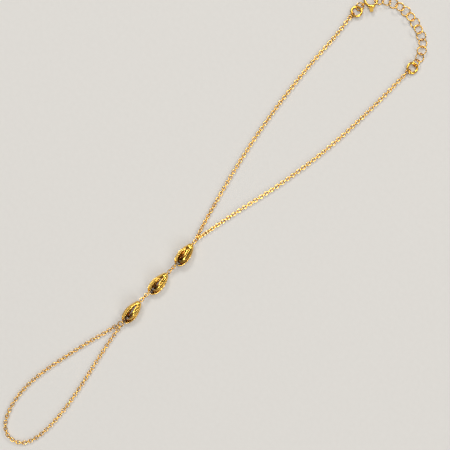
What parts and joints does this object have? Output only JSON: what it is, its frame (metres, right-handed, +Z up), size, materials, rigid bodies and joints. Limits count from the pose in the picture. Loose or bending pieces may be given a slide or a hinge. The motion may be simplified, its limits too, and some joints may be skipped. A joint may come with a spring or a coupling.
{
  "type": "hand chain bracelet",
  "caption": "Hand chain bracelet in gold-plated brass: finger loop and wrist loop of fine cable chain joined by open teardrop castings, with a spring ring clasp and an extender.",
  "frame": {"origin": "middle of the laid-out outline, on the surface that the piece lies on", "axes": "+Z up, away from the surface; +Y along the piece, from the finger loop to the clasp; +X to the side of the extender's end ring"},
  "size_m": [0.0302, 0.1942, 0.0036],
  "materials": {
    "gold_plated_brass": "polished gold plating",
    "gold_plated_findings": "polished gold plating, a little paler"
  },
  "bodies": {
    "bracelet": {"finger_chain": "gold_plated_brass", "loop_ring": "gold_plated_findings", "drop_lower": "gold_plated_brass", "drop_middle": "gold_plated_brass", "drop_upper": "gold_plated_brass", "connector_upper_1": "gold_plated_brass", "connector_upper_2": "gold_plated_brass", "connector_upper_3": "gold_plated_brass", "connector_lower_1": "gold_plated_brass", "connector_lower_2": "gold_plated_brass", "connector_lower_3": "gold_plated_brass", "tip_link": "gold_plated_brass", "junction_ring": "gold_plated_findings", "wrist_chain_left": "gold_plated_brass", "wrist_chain_right": "gold_plated_brass", "jump_ring_left": "gold_plated_findings", "jump_ring_right": "gold_plated_findings", "end_ring_left": "gold_plated_brass", "end_ring_right": "gold_plated_brass", "clasp_ring": "gold_plated_findings", "clasp_body": "gold_plated_findings", "extender_link_01": "gold_plated_brass", "extender_link_02": "gold_plated_brass", "extender_link_03": "gold_plated_brass", "extender_link_04": "gold_plated_brass", "extender_link_05": "gold_plated_brass", "extender_link_06": "gold_plated_brass", "extender_link_07": "gold_plated_brass", "extender_link_08": "gold_plated_brass", "extender_link_09": "gold_plated_brass", "extender_link_10": "gold_plated_brass", "extender_link_11": "gold_plated_brass", "extender_link_12": "gold_plated_brass", "extender_link_13": "gold_plated_brass"},
    "gate": {"clasp_gate": "gold_plated_findings"}
  },
  "joints": [
    {"name": "gate_slide_open", "type": "hinge", "parent": "bracelet", "child": "gate", "pos_m": [-0.0122, 0.09052, 0.00088], "axis": [-0.1324, 0.043, 0.9903], "range_deg": [-30, 0], "stiffness_Nm_per_rad": 0.007, "springref_deg": 11.46}
  ]
}
